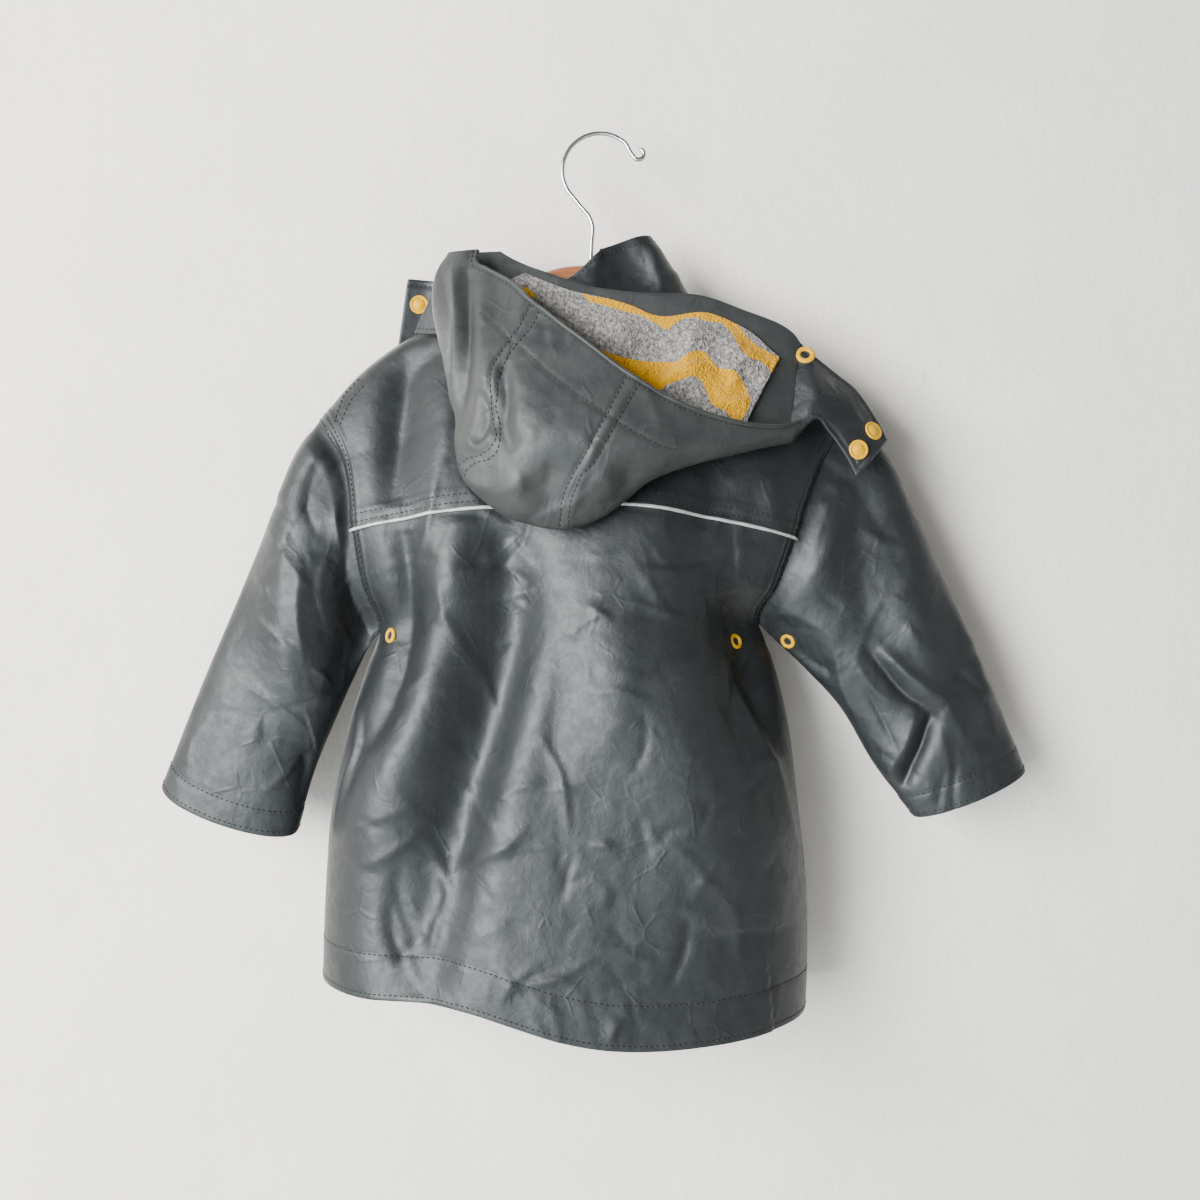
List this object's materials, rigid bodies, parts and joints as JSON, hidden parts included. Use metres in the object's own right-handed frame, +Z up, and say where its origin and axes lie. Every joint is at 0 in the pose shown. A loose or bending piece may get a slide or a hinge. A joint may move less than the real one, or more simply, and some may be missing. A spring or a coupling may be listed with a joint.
{
  "type": "kids raincoat on a wooden hanger",
  "caption": "Child's hooded raincoat of coated cloth with a striped terry hood lining, snap closures and piped back yoke, hanging on a wooden hanger with a wire hook.",
  "frame": {"origin": "inside top of the hanger's hook, where the wire rests on a nail or rod", "axes": "+Z up; the coat's back faces -Y and its closed front +Y; the wearer's right is +X and the wearer's left is -X"},
  "size_m": [0.5595, 0.1415, 0.5712],
  "materials": {
    "coated_cloth": "satin polyurethane coating on a knitted backing",
    "terry_lining": "heathered grey and golden yellow striped terry",
    "yellow_plastic": "moulded yellow plastic, softly glossy",
    "reflective_piping": "silver-grey retroreflective tape over a cord",
    "hanger_wood": "satin varnished wood",
    "hook_wire": "bright plated wire"
  },
  "bodies": {
    "root": {"back_yoke": "coated_cloth", "back_panel": "coated_cloth", "front_left": "coated_cloth", "front_right": "coated_cloth", "sleeve_left": "coated_cloth", "sleeve_right": "coated_cloth", "collar": "coated_cloth", "hood_side_left": "coated_cloth", "hood_centre": "coated_cloth", "hood_side_right": "coated_cloth", "hood_neck_lap": "coated_cloth", "chin_tab_left": "coated_cloth", "chin_flap_right": "coated_cloth", "hood_lining": "terry_lining", "piping": "reflective_piping", "front_snap_1": "yellow_plastic", "front_snap_2": "yellow_plastic", "front_snap_3": "yellow_plastic", "front_snap_4": "yellow_plastic", "front_snap_5": "yellow_plastic", "hood_snap_left": "yellow_plastic", "hood_snap_right_1": "yellow_plastic", "hood_snap_right_2": "yellow_plastic", "hood_ring_snap": "yellow_plastic", "eyelet_body_left": "yellow_plastic", "eyelet_body_right": "yellow_plastic", "eyelet_sleeve_left": "yellow_plastic", "eyelet_sleeve_right": "yellow_plastic", "hanger_bar": "hanger_wood", "hanger_hook": "hook_wire"}
  },
  "joints": []
}
